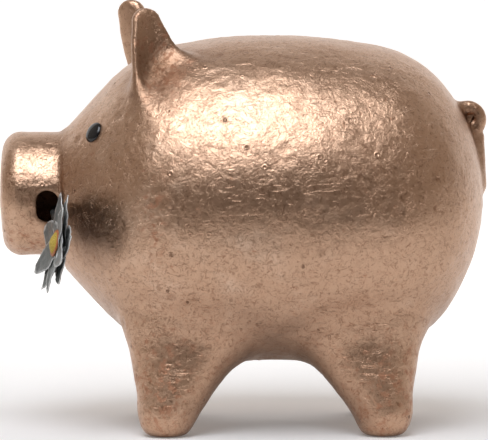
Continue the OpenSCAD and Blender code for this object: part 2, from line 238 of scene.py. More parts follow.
back_c = np.array([BELLY_X, BELLY_R - BACK_R])
rump_c = np.array([RUMP_X, 0.0])
gap = rump_c - back_c
reach, ra, rb = np.linalg.norm(gap), BACK_R - HAUNCH_R, RUMP_R - HAUNCH_R
shift = (ra * ra - rb * rb + reach * reach) / (2 * reach)
gap = gap / reach
haunch_c = back_c + shift * gap + math.sqrt(ra * ra - shift * shift) * np.array([gap[1], -gap[0]])
nose = np.array([HEAD_X, HEAD_END_R])
run = np.array([math.cos(CHEEK), math.sin(CHEEK)])
inward = np.array([math.sin(CHEEK), -math.cos(CHEEK)])
w = nose + BROW_R * inward - back_c
q = w @ run
brow_c = nose + BROW_R * inward + (math.sqrt(q * q - w @ w + (BACK_R - BROW_R) ** 2) - q) * run
brow_a = math.atan2(*(brow_c - back_c)[::-1])
haunch_a = math.atan2(*(haunch_c - back_c)[::-1])
rump_a = math.atan2(*(haunch_c - rump_c)[::-1])
profile = np.concatenate([[[HEAD_X, 0.0]], [nose],
    arc(brow_c, BROW_R, math.pi / 2 + CHEEK, brow_a, 14),
    arc(back_c, BACK_R, brow_a, haunch_a, 16)[1:],
    arc(haunch_c, HAUNCH_R, haunch_a, rump_a, 14)[1:], arc(rump_c, RUMP_R, rump_a, 0.0, 12)[1:]])


def line_distance(p, path):
    """Distance of points from an open path, and the place along it as index plus fraction."""
    best = np.full(len(p), 1e9)
    where = np.zeros(len(p))
    for i in range(len(path) - 1):
        ab = path[i + 1] - path[i]
        t = np.clip(((p - path[i]) @ ab) / (ab @ ab), 0, 1)
        d = ((p - path[i] - t[:, None] * ab) ** 2).sum(1)
        near = d < best
        best[near] = d[near]
        where[near] = i + t[near]
    return np.sqrt(best), where


def soft_min(a, b, k):
    h = np.clip(0.5 + 0.5 * (b - a) / k, 0, 1)
    return b * (1 - h) + a * h - k * h * (1 - h)


def body_distance(p):
    radial = np.hypot(p[:, 1], p[:, 2] - AXIS_Z)
    d = line_distance(np.stack([p[:, 0], radial], 1), profile)[0]
    inside = (p[:, 0] > HEAD_X) & (p[:, 0] < profile[-1, 0])
    inside &= radial < np.interp(p[:, 0], profile[1:, 0], profile[1:, 1])
    return np.where(inside, -d, d)


# Snout: a tube of board closed by a slightly domed disc with two nostrils.
SNOUT_Z, SNOUT_R, SNOUT_FRONT, SNOUT_EDGE, DISC_X = 86.0, 23.0, -90.0, 6.0, -83.0
SNOUT_DOME, SNOUT_DOME_R, SNOUT_HALF = 1.2, 17.0, 20.0
NOSTRIL_Y, NOSTRIL_R, NOSTRIL_DEPTH, NOSTRIL_ROUND = 7.5, 2.5, 3.0, 1.4


def snout_distance(p):
    radial = np.hypot(p[:, 1], p[:, 2] - SNOUT_Z)
    x = p[:, 0] - SNOUT_DOME * (radial / SNOUT_DOME_R) ** 2 * (p[:, 0] < -75)
    lengthwise = np.abs(x - SNOUT_FRONT - SNOUT_HALF) - SNOUT_HALF
    q = np.stack([lengthwise, radial - SNOUT_R], 1) + SNOUT_EDGE
    d = np.minimum(q.max(1), 0) + np.linalg.norm(np.maximum(q, 0), axis=1) - SNOUT_EDGE
    for side in (-1, 1):
        hole = np.hypot(p[:, 1] - side * NOSTRIL_Y, p[:, 2] - SNOUT_Z) - NOSTRIL_R
        hole = np.maximum(hole, p[:, 0] - SNOUT_FRONT - NOSTRIL_DEPTH)
        d = -soft_min(-d, hole, NOSTRIL_ROUND)
    return d


# Legs: round feet swelling into roots that are longer along the body than across it.
FOOT_X, FOOT_Y, FOOT_R, SOLE_CUT = (-28.5, 49.5), 33.0, 9.5, 0.7
THIGH_R, THIGH_HALF, THIGH_Z, THIGH_LEAN, THIGH_Y = 14.0, 8.5, 37.0, 8.0, 26.0
CROTCH_ROUND, SOLE_ROUND = 5.0, 1.5


def leg_points(side, end):
    foot = np.array([FOOT_X[end], side * FOOT_Y, FOOT_R - SOLE_CUT])
    root = np.array([foot[0] - (-1, 1)[end] * THIGH_LEAN, side * THIGH_Y, THIGH_Z])
    return foot, root - [THIGH_HALF, 0, 0], root + [THIGH_HALF, 0, 0]


def cone_distance(p, a, b, r1, r2):
    """Distance from a cone with a ball at each end."""
    ba = b - a
    l2 = ba @ ba
    rr = r1 - r2
    a2 = l2 - rr * rr
    pa = p - a
    y = pa @ ba
    z = y - l2
    x2 = ((pa * l2 - ba * y[:, None]) ** 2).sum(1)
    y2, z2 = y * y * l2, z * z * l2
    k = np.sign(rr) * rr * rr * x2
    d = (np.sqrt(x2 * a2 / l2) + y * rr) / l2 - r1
    d = np.where(np.sign(y) * a2 * y2 < k, np.sqrt(x2 + y2) / l2 - r1, d)
    return np.where(np.sign(z) * a2 * z2 > k, np.sqrt(x2 + z2) / l2 - r2, d)


def leg_distance(p, side, end):
    foot, fore, aft = leg_points(side, end)
    d = soft_min(cone_distance(p, foot, fore, FOOT_R, THIGH_R),
        cone_distance(p, foot, aft, FOOT_R, THIGH_R), CROTCH_ROUND)
    return -soft_min(-d, p[:, 2], SOLE_ROUND)


# Ears: leaves of pulp cupped towards the side. The right one stands higher and leans further.
EAR_L, EAR_W, EAR_TIP_R, EAR_CUP_R, EAR_T = 40.0, 24.0, 6.0, 19.0, 4.0
EAR_X, EAR_Y, EAR_TURN, EAR_SPLAY = -30.0, 27.0, math.radians(30), math.radians(6)
EAR_FOOT_W, EAR_FOOT_Z, EAR_EDGE = 0.42, -26.0, 1.9
EAR_Z, EAR_LEAN = {-1: 30.3, 1: 36.4}, {-1: math.radians(8), 1: math.radians(20)}


def turn(axis, a):
    c, s = math.cos(a), math.sin(a)
    i, j = [(1, 2), (2, 0), (0, 1)][axis]
    m = np.eye(3)
    m[i, i] = m[j, j] = c
    m[i, j], m[j, i] = -s, s
    return m


def ear_half(t):
    return EAR_W / 2 * (1 - 0.16 * (1 - t) ** 2) - (EAR_W / 2 - EAR_TIP_R) * t ** 2.2


ear_tip = EAR_L - EAR_TIP_R
ear_side = [[ear_half(t), t * ear_tip] for t in np.linspace(0, 1, 9)]
ear_line = np.array([[EAR_W * EAR_FOOT_W, EAR_FOOT_Z]] + ear_side
    + arc((0, ear_tip), EAR_TIP_R, math.radians(28), math.radians(152), 9).tolist()
    + [[-x, z] for x, z in ear_side[::-1]] + [[-EAR_W * EAR_FOOT_W, EAR_FOOT_Z]])
ear_turn = {s: turn(2, -s * EAR_TURN) @ turn(1, -EAR_LEAN[s]) @ turn(0, s * EAR_SPLAY)
    for s in (-1, 1)}
ear_root = {s: np.array([EAR_X, s * EAR_Y, AXIS_Z + EAR_Z[s]]) for s in (-1, 1)}


def ear_distance(p, side):
    local = (p - ear_root[side]) @ ear_turn[side]
    sheet = np.abs(np.hypot(local[:, 0], local[:, 1] - side * EAR_CUP_R) - EAR_CUP_R) - EAR_T / 2
    sheet = np.where(local[:, 1] * side > EAR_CUP_R, 20.0, sheet)
    across, up = local[:, 0], local[:, 2]
    d = line_distance(local[:, [0, 2]], ear_line)[0]
    half = np.interp(up, [z for x, z in ear_side] + [EAR_L], [x for x, z in ear_side] + [0.0])
    tip = np.sqrt(np.maximum(EAR_TIP_R ** 2 - (up - ear_tip) ** 2, 0))
    half = np.where(up > ear_tip, tip, half)
    d = np.where((np.abs(across) < half) & (up < EAR_L) & (up > EAR_FOOT_Z), -d, d)
    q = np.stack([d, sheet], 1) + EAR_EDGE
    return np.minimum(q.max(1), 0) + np.linalg.norm(np.maximum(q, 0), axis=1) - EAR_EDGE


# Tail: climbs the rump and curls forward into a hook, thinning to its tip.
TAIL_ROOT_R, TAIL_TIP_R, CURL_R, CURL_END_R, CURL_Z = 3.4, 1.9, 5.2, 3.4, 29.5
RUMP_END, CLIMB_Z, CLIMB_L, CURL_SHIFT = 90.0, 5.0, 22.0, -3.4
curl_a = np.radians(np.arange(-62, 263, 12))
curl_t = np.linspace(0, 1, len(curl_a))
curl_r = CURL_R + (CURL_END_R - CURL_R) * curl_t
curl_mid = np.array([RUMP_END - CURL_R - 0.8 * TAIL_ROOT_R, 0, AXIS_Z + CURL_Z])
climb = [[RUMP_END - TAIL_ROOT_R - 0.6 * t, 0.4, AXIS_Z + CLIMB_Z + CLIMB_L * t]
    for t in np.linspace(0, 0.8, 5)]
tail_path = np.concatenate([climb, curl_mid
    + np.stack([curl_r * np.cos(curl_a), CURL_SHIFT * curl_t, curl_r * np.sin(curl_a)], 1)])


def tail_distance(p):
    d = np.full(len(p), 99.0)
    near = (p[:, 0] > 60) & (p[:, 2] > 70) & (np.abs(p[:, 1]) < 25)
    if near.any():
        gap, where = line_distance(p[near], tail_path)
        d[near] = gap - (TAIL_ROOT_R + (TAIL_TIP_R - TAIL_ROOT_R) * where / (len(tail_path) - 1))
    return d


PARTS = ["body", "snout", "left_ear", "right_ear", "front_left_leg", "rear_left_leg",
    "front_right_leg", "rear_right_leg", "tail"]
FILLET = [0, 3.0, 8.0, 8.0, 10.0, 10.0, 10.0, 10.0, 3.0]


def part_distances(p):
    return np.stack([body_distance(p), snout_distance(p), ear_distance(p, -1), ear_distance(p, 1),
        leg_distance(p, -1, 0), leg_distance(p, -1, 1), leg_distance(p, 1, 0),
        leg_distance(p, 1, 1), tail_distance(p)])


def skin_distance(p):
    d = part_distances(p)
    out = d[0]
    for other, k in zip(d[1:], FILLET[1:]):
        out = soft_min(other, out, k)
    return out


def settle(p, rounds):
    """Moves points onto the skin, and returns them with its normals."""
    h = 0.05
    for _ in range(rounds):
        f = skin_distance(p)
        slope = np.stack([skin_distance(p + h * e) - f for e in np.eye(3)], 1) / h
        slope /= np.maximum(np.linalg.norm(slope, axis=1), 0.3)[:, None]
        p = p - np.clip(f, -2.5, 2.5)[:, None] * slope
    return p, slope


# A rough union of closed solids, remeshed evenly, gives the skin its vertices.
SKIN_GRID, STRAY = 1.25, 0.8


def ring_grid(bm, rings):
    rows = [[bm.verts.new(Vector(v) * MM) for v in ring] for ring in rings]
    for a, b in zip(rows, rows[1:]):
        for i in range(len(a)):
            j = (i + 1) % len(a)
            bm.faces.new((a[i], a[j], b[j], b[i]))
    bm.faces.new(rows[0][::-1])
    bm.faces.new(rows[-1])


def tube_rings(path, radii, sides):
    path = np.asarray(path, float)
    rings = []
    for i, p in enumerate(path):
        t = unit(path[min(i + 1, len(path) - 1)] - path[max(i - 1, 0)])
        n = unit(np.cross(t, [0.05, 1, 0.02]))
        b = np.cross(t, n)
        a = np.linspace(0, 2 * math.pi, sides, endpoint=False)
        rings.append(p + radii[i] * (np.cos(a)[:, None] * n + np.sin(a)[:, None] * b))
    return rings


bm = bmesh.new()
a = np.linspace(0, 2 * math.pi, 96, endpoint=False)
for centre_z, outline in ((AXIS_Z, profile[1:-1]),
    (SNOUT_Z, [(x, 22.5) for x in (-89.5, -75, -60)])):
    ring_grid(bm, [[(x, r * math.cos(t), centre_z + r * math.sin(t)) for t in a]
        for x, r in outline])
for side in (-1, 1):
    for end in (0, 1):
        ball = bmesh.new()
        for centre, r in zip(leg_points(side, end), (FOOT_R, THIGH_R, THIGH_R)):
            for u in range(1, 12):
                for v in range(24):
                    lat, lon = math.pi * u / 12, math.pi * v / 12
                    x, y, z = centre + r * np.array([math.sin(lat) * math.cos(lon),
                        math.sin(lat) * math.sin(lon), math.cos(lat)])
                    ball.verts.new(Vector((x, y, max(z, 0.0))) * MM)
        hull = bmesh.ops.convex_hull(ball, input=ball.verts)
        spare = [v for v in hull["geom_interior"] if isinstance(v, bmesh.types.BMVert)]
        bmesh.ops.delete(ball, geom=spare, context="VERTS")
        mesh = bpy.data.meshes.new("rough")
        ball.to_mesh(mesh)
        ball.free()
        bm.from_mesh(mesh)
    rings = []
    for z in np.linspace(-12, EAR_L - 0.6, 30):
        if z < ear_tip:
            half = ear_half(max(z, 0) / ear_tip)
        else:
            half = math.sqrt(EAR_TIP_R ** 2 - (z - ear_tip) ** 2)
        ring = []
        for thick, first in ((EAR_T / 2, -half), (-EAR_T / 2, half)):
            r = EAR_CUP_R + thick
            for x in np.linspace(first, -first, 14) * r / EAR_CUP_R:
                ring.append((x, side * (EAR_CUP_R - math.sqrt(r * r - x * x)), z))
        rings.append([ear_root[side] + ear_turn[side] @ np.array(v) for v in ring])
    ring_grid(bm, rings)
step = np.arange(len(tail_path))
ring_grid(bm, tube_rings(tail_path, TAIL_ROOT_R + (TAIL_TIP_R - TAIL_ROOT_R) * step / step[-1], 16))
bmesh.ops.recalc_face_normals(bm, faces=bm.faces)
rough = bpy.data.meshes.new("rough_skin")
bm.to_mesh(rough)
bm.free()
rough_skin = bpy.data.objects.new("rough_skin", rough)
bpy.context.scene.collection.objects.link(rough_skin)
remesh = rough_skin.modifiers.new("even", "REMESH")
remesh.mode = "VOXEL"
remesh.voxel_size = SKIN_GRID * MM
evaluated = rough_skin.evaluated_get(bpy.context.evaluated_depsgraph_get())
even = bpy.data.meshes.new_from_object(evaluated)
bpy.data.objects.remove(rough_skin)

bm = bmesh.new()
bm.from_mesh(even)
bm.verts.ensure_lookup_table()
seen, biggest = set(), []
for v in bm.verts:
    if v.index in seen:
        continue
    island, stack = [v], [v]
    seen.add(v.index)
    while stack:
        for e in stack.pop().link_edges:
            for o in e.verts:
                if o.index not in seen:
                    seen.add(o.index)
                    island.append(o)
                    stack.append(o)
    if len(island) > len(biggest):
        biggest = island
keep = {v.index for v in biggest}
bmesh.ops.delete(bm, geom=[v for v in bm.verts if v.index not in keep], context="VERTS")


def points_of(bm):
    return np.array([v.co for v in bm.verts]) / MM


def move(bm, p):
    for v, co in zip(bm.verts, p * MM):
        v.co = co


for _ in range(2):
    move(bm, settle(points_of(bm), 3)[0])
    bmesh.ops.smooth_vert(bm, verts=bm.verts, factor=0.5,
        use_axis_x=True, use_axis_y=True, use_axis_z=True)

# Openings through the skin: a coin slot in the back, a round hatch in the belly for the
# stopper's collar, and the hole in the mouth's side for the daisy's wire.
SLOT_L, SLOT_W, HATCH_R = 38.0, 5.0, 15.5
MOUTH_X, MOUTH_Z, MOUTH_W, MOUTH_H = -71.6, 82.0, 8.0, 12.0
FAR = 99.0


def opening_distances(p):
    x, y, z = p.T
    past = np.maximum(np.abs(x - BELLY_X) - (SLOT_L - SLOT_W) / 2, 0)
    slot = np.hypot(past, y) - SLOT_W / 2
    hatch = np.hypot(x - BELLY_X, y) - HATCH_R
    past = np.maximum(np.abs(z - MOUTH_Z) - (MOUTH_H - MOUTH_W) / 2, 0)
    mouth = np.hypot(x - MOUTH_X, past) - MOUTH_W / 2
    return np.stack([np.where(z > AXIS_Z, slot, FAR), np.where(z < AXIS_Z, hatch, FAR),
        np.where((y < -10) & (x < -60), mouth, FAR)])


def nostril_gap(p):
    from_rim = np.abs(np.hypot(np.abs(p[:, 1]) - NOSTRIL_Y, p[:, 2] - SNOUT_Z) - NOSTRIL_R)
    return from_rim + 9.0 * (p[:, 0] > -80)


for band in (3.0, 1.8):
    p = points_of(bm)
    near = np.minimum(np.abs(opening_distances(p)).min(0), nostril_gap(p)) < band
    bm.verts.ensure_lookup_table()
    edges = [e for e in bm.edges if near[e.verts[0].index] and near[e.verts[1].index]]
    bmesh.ops.subdivide_edges(bm, edges=edges, cuts=1, use_grid_fill=True)
    bm.verts.index_update()
for normal, at in (((0, 1, 0), (0, 0, 0)), ((1, 0, 0), (DISC_X, 0, 0))):
    bmesh.ops.bisect_plane(bm, geom=bm.verts[:] + bm.edges[:] + bm.faces[:], dist=0.00002,
        plane_co=Vector(at) * MM, plane_no=normal)
bm.verts.index_update()
held_y = np.abs(points_of(bm)[:, 1]) < 0.03
p = settle(points_of(bm), 2)[0]
p[held_y, 1] = 0.0
move(bm, p)
centres = np.array([f.calc_center_median() for f in bm.faces]) / MM
gaps = opening_distances(centres).min(0)
bmesh.ops.delete(bm, geom=[f for f, gap in zip(bm.faces[:], gaps) if gap < 0], context="FACES")
bm.verts.index_update()
p = points_of(bm)
rim_verts = np.array([any(e.is_boundary for e in v.link_edges) for v in bm.verts])
for _ in range(3):
    d = opening_distances(p)
    which, gap = d.argmin(0), d.min(0)
    h = 0.02
    ahead = [opening_distances(p + h * e)[which, np.arange(len(p))] for e in np.eye(3)]
    slope = (np.stack(ahead, 1) - gap[:, None]) / h
    p = p - np.where(rim_verts & (np.abs(gap) < 3), gap, 0)[:, None] * slope
    p, normal = settle(p, 1)
# A point that a sharp rim has thrown off the skin goes back among its neighbours.
around = [[e.other_vert(v).index for e in v.link_edges] for v in bm.verts]
for _ in range(3):
    middle = np.array([p[n].mean(0) for n in around])
    stray = np.nonzero((np.linalg.norm(p - middle, axis=1) > STRAY) & ~rim_verts)[0]
    for i in stray:
        p[i], normal[i] = middle[i], Vector(normal[around[i]].mean(0)).normalized()
p[np.abs(p[:, 1]) < 0.02, 1] = 0.0

# Relief left by the pulp: slow lumps and small dents, rolled lips at the openings.
LIP_W, DENTS = 1.6, 90
LUMPS = [(0.42, 21, Vector()), (0.20, 8, Vector((7, 3, 1))), (0.085, 3.2, Vector())]
lips = np.clip(1 - np.abs(opening_distances(p)).min(0) / LIP_W, 0, 1)
lump = np.empty(len(p))
for i, co in enumerate(p):
    v = Vector(co)
    lump[i] = sum(size * noise.noise(v / span + shift) for size, span, shift in LUMPS)
dents = np.random.default_rng(11)
picked = dents.choice(len(p), DENTS, replace=False)
dent = np.zeros(len(p))
for i in picked:
    r = dents.uniform(1.0, 2.2)
    d = np.linalg.norm(p - p[i], axis=1) / r
    bowl, brim = np.exp(-(d ** 2) * 1.6), np.exp(-((d - 1.5) ** 2) * 6)
    dent += dents.uniform(0.12, 0.3) * (bowl - 0.45 * brim)
keep_in = np.clip((p[:, 2] - 1.5) / 4, 0, 1)
offset = (lump - dent) * keep_in - 0.35 * lips ** 2
p = p + (offset[:, None] - 0.25 * keep_in[:, None]) * normal
p[:, 2] = np.maximum(p[:, 2], 0.0)
move(bm, p)
bm.normal_update()
normals = np.array([v.normal for v in bm.verts])

# Where the leaf is rubbed to the bole, where shade is painted in darker, and where it is scored:
# spots as (strength, centre, size), then what follows from the shape.
WORN = [(2.4, (-33, -42, 80), (4, 30, 15)), (1.7, (-31, -38, 18), (9, 30, 18)),
    (2.6, (-30, -31, 134), (9, 9, 18)), (1.4, (52, -34, 16), (10, 30, 14)),
    (1.5, (-78, -15, 67), (13, 14, 9)), (0.7, (86, -3, 112), (4, 6, 6)),
    (0.5, (-33, 38, 22), (9, 30, 17)), (0.5, (50, 34, 18), (10, 30, 14))]
# Painted shade spots: behind the snout on both sides and in the left ear's hollow.
PAINTED_SHADE_SPOTS = [(0.75, (-57, -34, 74), (9, 14, 13)), (0.6, (-57, 34, 74), (9, 14, 13)),
    (0.8, (-32, -30, 129), (10, 9, 17))]
SCORED = [(0.9, (55, -30, 125), (34, 40, 26)), (0.8, (40, -35, 35), (25, 30, 20)),
    (0.6, (-30, -35, 40), (20, 30, 22))]


def fading_spots(spots):
    """The sum of soft spots given as (strength, centre, size)."""
    return sum(strength * np.exp(-(((p - centre) / size) ** 2).sum(1))
        for strength, centre, size in spots)


wear = 0.12 + fading_spots(WORN) + 0.5 * np.clip((50 - p[:, 2]) / 22, 0, 1)
parted = np.sort(part_distances(p), axis=0)[:2]
join = np.clip(1 - (parted[1] - parted[0]) / 5, 0, 1) * np.clip(1 - parted[1] / 9, 0, 1)
shut_in = np.clip(1 - skin_distance(p + 9 * normals) / 9, 0, 1)
under = np.clip(-normals[:, 2] - 0.35, 0, 1) * np.clip((60 - p[:, 2]) / 20, 0, 1)
to_middle = -normals[:, 0] * np.sign(p[:, 0] - BELLY_X)
between = np.clip(to_middle - 0.25, 0, 1) * np.clip((44 - p[:, 2]) / 8, 0, 1)
# Painted shade: darker in the joins, at the openings' lips, in dents, in shut-in places, on
# undersides, on the legs' inner faces and in the painted shade spots.
hollow = 0.20 * join ** 1.5 + 0.55 * lips ** 3 + 0.35 * np.clip(dent * 3, 0, 1) + 0.75 * shut_in
hollow += 0.85 * under + 0.85 * between + fading_spots(PAINTED_SHADE_SPOTS)
scored = 0.25 + fading_spots(SCORED)

bm.verts.index_update()
centres = np.array([f.calc_center_median() for f in bm.faces]) / MM
labels = part_distances(centres).argmin(0)
faces = [[v.index for v in f.verts] for f in bm.faces]
WALLS = {"body": 4.0, "snout": 3.2, "ear": 1.1, "leg": 3.0, "tail": 0.8}
DISC_BACK_X = -86.6


def part_off(name, chosen, wall):
    """One piece of the skin as a closed shell: outside, inside, and the rim where it is glued."""
    mine = [faces[i] for i in np.nonzero(chosen)[0]]
    used = sorted({i for f in mine for i in f})
    index = {v: i for i, v in enumerate(used)}
    n = len(used)
    outer = [[index[v] for v in f] for f in mine]
    sides = [(a, b) for f in outer for a, b in zip(f, f[1:] + f[:1])]
    paired = set(sides)
    rim = [(a, b) for a, b in sides if (b, a) not in paired]
    inner = [[v + n for v in f[::-1]] for f in outer]
    walls = [[b, a, a + n, b + n] for a, b in rim]
    inside = p[used] - wall * normals[used]
    inside[np.abs(p[used][:, 1]) < 0.01, 1] = 0.0
    inside[:, 0] = np.maximum(inside[:, 0], DISC_BACK_X)
    verts = np.concatenate([p[used], inside]) * MM
    mesh = bpy.data.meshes.new(name)
    mesh.from_pydata(verts.tolist(), [], outer + inner + walls)
    mesh.polygons.foreach_set("use_smooth", [True] * len(mesh.polygons))
    loops = []
    for poly in mesh.polygons:
        if poly.index < len(outer):
            loops += [normals[used[v]] for v in poly.vertices]
        elif poly.index < 2 * len(outer):
            loops += [-normals[used[v - n]] for v in poly.vertices]
        else:
            loops += [np.array(poly.normal)] * len(poly.vertices)
    mesh.normals_split_custom_set([tuple(v) for v in loops])
    for label, values in (("wear", wear), ("hollow", hollow), ("scored", scored)):
        layer = mesh.attributes.new(label, "FLOAT", "POINT")
        layer.data.foreach_set("value", np.concatenate([values[used]] * 2).astype(np.float32))
    piece = bpy.data.objects.new(name, mesh)
    bpy.context.scene.collection.objects.link(piece)
    mesh.materials.append(copper_leaf)
    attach(piece, "pig")
    return piece


body_faces, snout_faces = labels == 0, labels == 1
left_faces, sleeve_faces = centres[:, 1] < 0, centres[:, 0] > DISC_X
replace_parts(part_off("left_body_skin", body_faces & left_faces, WALLS["body"]), "left_body_shell")
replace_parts(part_off("right_body_skin", body_faces & ~left_faces, WALLS["body"]),
    "right_body_shell")
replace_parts(part_off("snout_sleeve", snout_faces & sleeve_faces, WALLS["snout"]), "snout_tube")
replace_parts(part_off("snout_face", snout_faces & ~sleeve_faces, WALLS["snout"]), "snout_disc")
for i in (2, 3):
    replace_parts(part_off(PARTS[i] + "_leaf", labels == i, WALLS["ear"]), PARTS[i])
for i in (4, 5, 6, 7):
    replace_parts(part_off(PARTS[i] + "_skin", labels == i, WALLS["leg"]), PARTS[i])
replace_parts(part_off("curled_tail", labels == 8, WALLS["tail"]), "tail")
bm.free()

# ---------------------------------------------------------------------------------------------
# Eyes: black glass-bright beads, domed, pinned into the cheeks and square to them.
def mottled(name, dark, light, size, cover, softness, seed, rough, spread, pore, depth,
    metallic=0.0):
    """A finish of two colours in blotches that also vary its roughness, with a fine grain."""
    finish, tree, shader, place = material(name)
    mask = use_group(tree, blotches, {"Vector": place, "Size": size, "Cover": cover,
        "Softness": softness, "Seed": seed}).outputs[0]
    skin = use_group(tree, grain, {"Vector": place, "Size": pore, "Depth": depth})
    varied = math_of(tree, "ADD", rough, math_of(tree, "MULTIPLY", mask, spread))
    tree.links.new(mixed(tree, mask, (*dark, 1), (*light, 1)), shader.inputs["Base Color"])
    tree.links.new(varied, shader.inputs["Roughness"])
    tree.links.new(skin.outputs["Normal"], shader.inputs["Normal"])
    shader.inputs["Metallic"].default_value = metallic
    return finish


bead_black = mottled("bead_black", (0.008, 0.008, 0.009), (0.022, 0.021, 0.02),
    0.002, 0.35, 0.3, 2.0, 0.16, 0.2, 0.0012, 0.00002)
EYE_X, EYE_ANGLE, EYE_R, EYE_DOME = -54.5, math.radians(41), 3.9, 1.6
seat_r = HEAD_END_R + (EYE_X - HEAD_X) * math.tan(CHEEK)
for side, node_name in ((-1, "left_eye"), (1, "right_eye")):
    round_head = turn(0, -side * (math.pi / 2 - EYE_ANGLE))
    face = round_head @ turn(1, -CHEEK)
    seat = np.array([EYE_X, 0, AXIS_Z]) + round_head @ np.array([0, 0, seat_r])
    dome = [(EYE_R * math.cos(t), EYE_DOME * math.sin(t)) for t in np.linspace(1.45, 0, 12)]
    outline = dome + [(EYE_R, -0.8), (1.2, -0.9), (0.7, -4.6)]
    bm = bmesh.new()
    ring_grid(bm, [[seat + face @ np.array([r * math.cos(t), r * math.sin(t), z])
        for t in np.linspace(0, 2 * math.pi, 48, endpoint=False)] for r, z in outline])
    bmesh.ops.recalc_face_normals(bm, faces=bm.faces)
    mesh = bpy.data.meshes.new(node_name + "_bead")
    bm.to_mesh(mesh)
    bm.free()
    mesh.polygons.foreach_set("use_smooth", [True] * len(mesh.polygons))
    mesh.materials.append(bead_black)
    bead = bpy.data.objects.new(node_name + "_bead", mesh)
    bpy.context.scene.collection.objects.link(bead)
    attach(bead, "pig")
    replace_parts(bead, node_name)

# ---------------------------------------------------------------------------------------------
# Stopper and collar: a black rubber plug with a finger bar, in a ring of raw board glued inside
# the belly. Both keep their solids and take a worn finish.
stopper_rubber = mottled("stopper_rubber", (0.018, 0.017, 0.016), (0.06, 0.055, 0.05),
    0.006, 0.4, 0.3, 3.0, 0.6, 0.25, 0.0008, 0.00005)
raw_board = mottled("raw_board", (0.24, 0.15, 0.085), (0.36, 0.25, 0.16),
    0.004, 0.5, 0.4, 5.0, 0.8, 0.15, 0.0012, 0.00018)
for name, mat in (("stopper", stopper_rubber), ("stopper_collar", raw_board)):
    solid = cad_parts[name]
    for i in range(max(len(solid.material_slots), 1)):
        if not solid.material_slots:
            solid.data.materials.append(mat)
        solid.material_slots[i].material = mat

# ---------------------------------------------------------------------------------------------
# Daisy: dull zinc petals, cut and crumpled by hand, in two layers round a yellow centre of
# florets with an orange rim, on a wire that crosses the mouth into the snout's far wall.
FLOWER_AT = np.array([-66.8, -40.0, 69.7])
FLOWER_TILT, FLOWER_TURN, FLOWER_R, PETALS = math.radians(78), math.radians(194), 19.5, 6
TIN_T = 0.35
flower_face = turn(2, FLOWER_TURN) @ turn(1, FLOWER_TILT)
STEM_X, STEM_Z, STEM_R = -69.5, 80.0, 1.0

petal_tin, tree, shader, place = material("petal_tin")
bloom = use_group(tree, blotches, {"Vector": place, "Size": 0.004, "Cover": 0.5,
    "Softness": 0.25, "Seed": 6.0}).outputs[0]
stain = use_group(tree, blotches, {"Vector": place, "Size": 0.0015, "Cover": 0.3,
    "Softness": 0.1, "Seed": 7.0}).outputs[0]
bare = put(tree, "ShaderNodeAttribute", attribute_name="edge").outputs["Fac"]
stain, bare = math_of(tree, "MULTIPLY", stain, 0.5), math_of(tree, "MULTIPLY", bare, 0.75, True)
tone = mixed(tree, bloom, (0.17, 0.18, 0.175, 1), (0.33, 0.34, 0.33, 1))
tone = mixed(tree, stain, tone, (0.10, 0.10, 0.09, 1))
tone = mixed(tree, bare, tone, (0.78, 0.79, 0.78, 1))
rough = math_of(tree, "ADD", 0.45, math_of(tree, "MULTIPLY", bloom, 0.2))
skin = use_group(tree, grain, {"Vector": place, "Size": 0.0016, "Depth": 0.00025})
tree.links.new(tone, shader.inputs["Base Color"])
tree.links.new(rough, shader.inputs["Roughness"])
tree.links.new(skin.outputs["Normal"], shader.inputs["Normal"])
shader.inputs["Metallic"].default_value = 0.55

petal_ring, given, out = group_tree("petal_ring", "GeometryNodeTree",
    [("Geometry", "NodeSocketGeometry", None), ("Count", "NodeSocketInt", 6),
    ("Turn", "NodeSocketFloat", 0.0),
     ("Uneven", "NodeSocketFloat", 0.12), ("Crumple", "NodeSocketFloat", 0.001),
     ("Seed", "NodeSocketInt", 1),
     ("Finish", "NodeSocketMaterial", None)], [("Geometry", "NodeSocketGeometry")])
spots = put(petal_ring, "GeometryNodePoints", {"Count": given.outputs["Count"]})
index = petal_ring.nodes.new("GeometryNodeInputIndex").outputs[0]
part = math_of(petal_ring, "DIVIDE", math_of(petal_ring, "MULTIPLY", index, 2 * math.pi),
    given.outputs["Count"])
uneven = put(petal_ring, "FunctionNodeRandomValue", {"Seed": given.outputs["Seed"]},
    data_type="FLOAT")
swing = math_of(petal_ring, "MULTIPLY", math_of(petal_ring, "SUBTRACT", uneven.outputs[1], 0.5),
    given.outputs["Uneven"])
angle = math_of(petal_ring, "ADD", math_of(petal_ring, "ADD", part, given.outputs["Turn"]), swing)
lift = put(petal_ring, "FunctionNodeRandomValue", {2: -0.06, 3: 0.08, "Seed": 8}, data_type="FLOAT")
facing = put(petal_ring, "ShaderNodeCombineXYZ",
    {1: math_of(petal_ring, "MULTIPLY", lift.outputs[1], -1.0), 2: angle})
size = put(petal_ring, "FunctionNodeRandomValue", {2: 0.90, 3: 1.0, "Seed": 5}, data_type="FLOAT")
laid = put(petal_ring, "GeometryNodeInstanceOnPoints",
    {"Points": spots.outputs[0], "Instance": given.outputs["Geometry"],
    "Rotation": facing.outputs[0], "Scale": size.outputs[1]})
real = petal_ring.nodes.new("GeometryNodeRealizeInstances")
petal_ring.links.new(laid.outputs[0], real.inputs[0])
bend = put(petal_ring, "ShaderNodeTexNoise", {"Scale": 170.0, "Detail": 2.0, "Roughness": 0.6})
push = put(petal_ring, "ShaderNodeVectorMath", {0: bend.outputs["Color"], 1: (0.5, 0.5, 0.5)},
    operation="SUBTRACT")
amount = put(petal_ring, "ShaderNodeVectorMath", {0: push.outputs[0]}, operation="SCALE")
petal_ring.links.new(given.outputs["Crumple"], amount.inputs["Scale"])
moved = put(petal_ring, "GeometryNodeSetPosition",
    {"Geometry": real.outputs[0], "Offset": amount.outputs[0]})
done = put(petal_ring, "GeometryNodeSetMaterial",
    {"Geometry": moved.outputs[0], "Material": given.outputs["Finish"]})
petal_ring.links.new(done.outputs[0], out.inputs[0])


